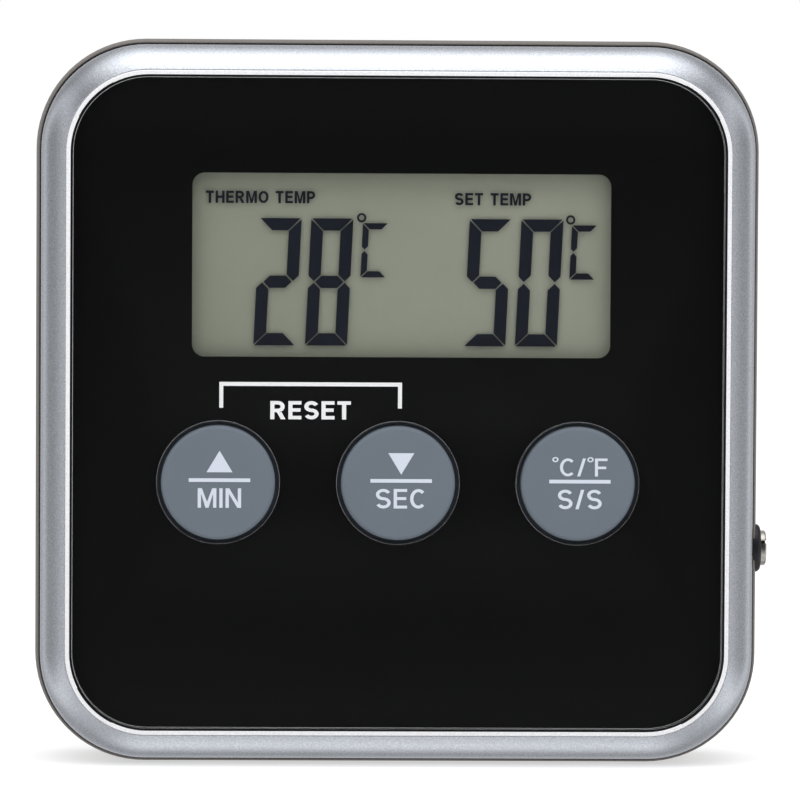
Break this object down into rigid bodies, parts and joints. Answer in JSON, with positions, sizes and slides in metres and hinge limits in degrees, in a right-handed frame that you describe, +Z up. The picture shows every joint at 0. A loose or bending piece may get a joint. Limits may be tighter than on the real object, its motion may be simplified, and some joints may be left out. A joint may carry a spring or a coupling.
{
  "type": "digital probe thermometer",
  "caption": "Square digital probe thermometer and timer with a silver frame, glossy black face, display, round keys, probe socket and fold-out stand.",
  "frame": {"origin": "middle of the bottom face, on the plane that the upright case stands on", "axes": "+X to the right seen from the front, +Y from the face to the back, +Z up"},
  "size_m": [0.0707, 0.0183, 0.0698],
  "materials": {
    "silver_paint": "satin metallic paint on moulded plastic",
    "clear_panel": "polished clear acrylic",
    "black_print": "printed film",
    "white_print": "screen print",
    "adhesive": "adhesive foam",
    "key_grey": "fine matte moulding",
    "case_grey": "fine spark-eroded texture",
    "lcd_film": "matte display film",
    "lcd_segment": "dark liquid crystal segment",
    "lcd_glass": "clear glass",
    "white_plastic": "moulded",
    "black_plastic": "moulded",
    "rubber": "layered conductive rubber",
    "green_board": "solder mask over fibre board",
    "epoxy": "poured epoxy",
    "steel": "zinc plated",
    "nickel": "nickel plated",
    "brass": "bare",
    "piezo": "sintered",
    "ferrite": "ground ferrite",
    "cell_label": "printed sleeve over a steel can",
    "red_wire": "smooth insulation"
  },
  "bodies": {
    "case": {"front_bezel": "silver_paint", "front_panel": "clear_panel", "panel_print": "black_print", "panel_adhesive": "adhesive", "lcd_polariser": "lcd_film", "lcd_front_glass": "lcd_glass", "lcd_rear_glass": "lcd_glass", "lcd_reflector": "lcd_film", "lcd_frame": "white_plastic", "contact_strip": "rubber", "circuit_board": "green_board", "chip_blob": "epoxy", "crystal": "steel", "capacitor": "brass", "resistor": "black_plastic", "jack_body": "black_plastic", "jack_nose": "nickel", "jack_collar": "black_plastic", "jack_contact": "brass", "buzzer_disc": "brass", "buzzer_ceramic": "piezo", "buzzer_wire_red": "red_wire", "buzzer_wire_black": "black_plastic", "battery_cell": "cell_label", "battery_contact_positive": "nickel", "battery_contact_negative": "nickel", "battery_spring": "steel", "rear_case": "case_grey", "magnet_left": "ferrite", "magnet_right": "ferrite", "mode_switch_body": "steel", "board_screw_1": "steel", "case_screw_1": "steel", "board_screw_2": "steel", "case_screw_2": "steel", "board_screw_3": "steel", "case_screw_3": "steel", "board_screw_4": "steel", "case_screw_4": "steel", "switch_body_min": "black_plastic", "switch_body_sec": "black_plastic", "switch_body_start": "black_plastic"},
    "button_min": {"button_min": "key_grey", "switch_plunger_min": "black_plastic"},
    "button_sec": {"button_sec": "key_grey", "switch_plunger_sec": "black_plastic"},
    "button_start": {"button_start": "key_grey", "switch_plunger_start": "black_plastic"},
    "stand": {"stand_leg": "case_grey"},
    "battery_door": {"battery_door": "case_grey"},
    "mode_knob": {"mode_knob": "black_plastic", "mode_switch_lever": "black_plastic"}
  },
  "joints": [
    {"name": "button_min_press", "type": "slide", "parent": "case", "child": "button_min", "axis": [0, 1, 0], "range_m": [0, 0.0005], "stiffness_N_per_m": 1500},
    {"name": "button_sec_press", "type": "slide", "parent": "case", "child": "button_sec", "axis": [0, 1, 0], "range_m": [0, 0.0005], "stiffness_N_per_m": 1500},
    {"name": "button_start_press", "type": "slide", "parent": "case", "child": "button_start", "axis": [0, 1, 0], "range_m": [0, 0.0005], "stiffness_N_per_m": 1500},
    {"name": "stand_fold", "type": "hinge", "parent": "case", "child": "stand", "pos_m": [0, 0.0078, 0.0539], "axis": [1, 0, 0], "range_deg": [0, 65]},
    {"name": "battery_door_slide", "type": "slide", "parent": "case", "child": "battery_door", "axis": [0, 0, -1], "range_m": [0, 0.018]},
    {"name": "mode_slide", "type": "slide", "parent": "case", "child": "mode_knob", "axis": [1, 0, 0], "range_m": [0, 0.002]}
  ]
}
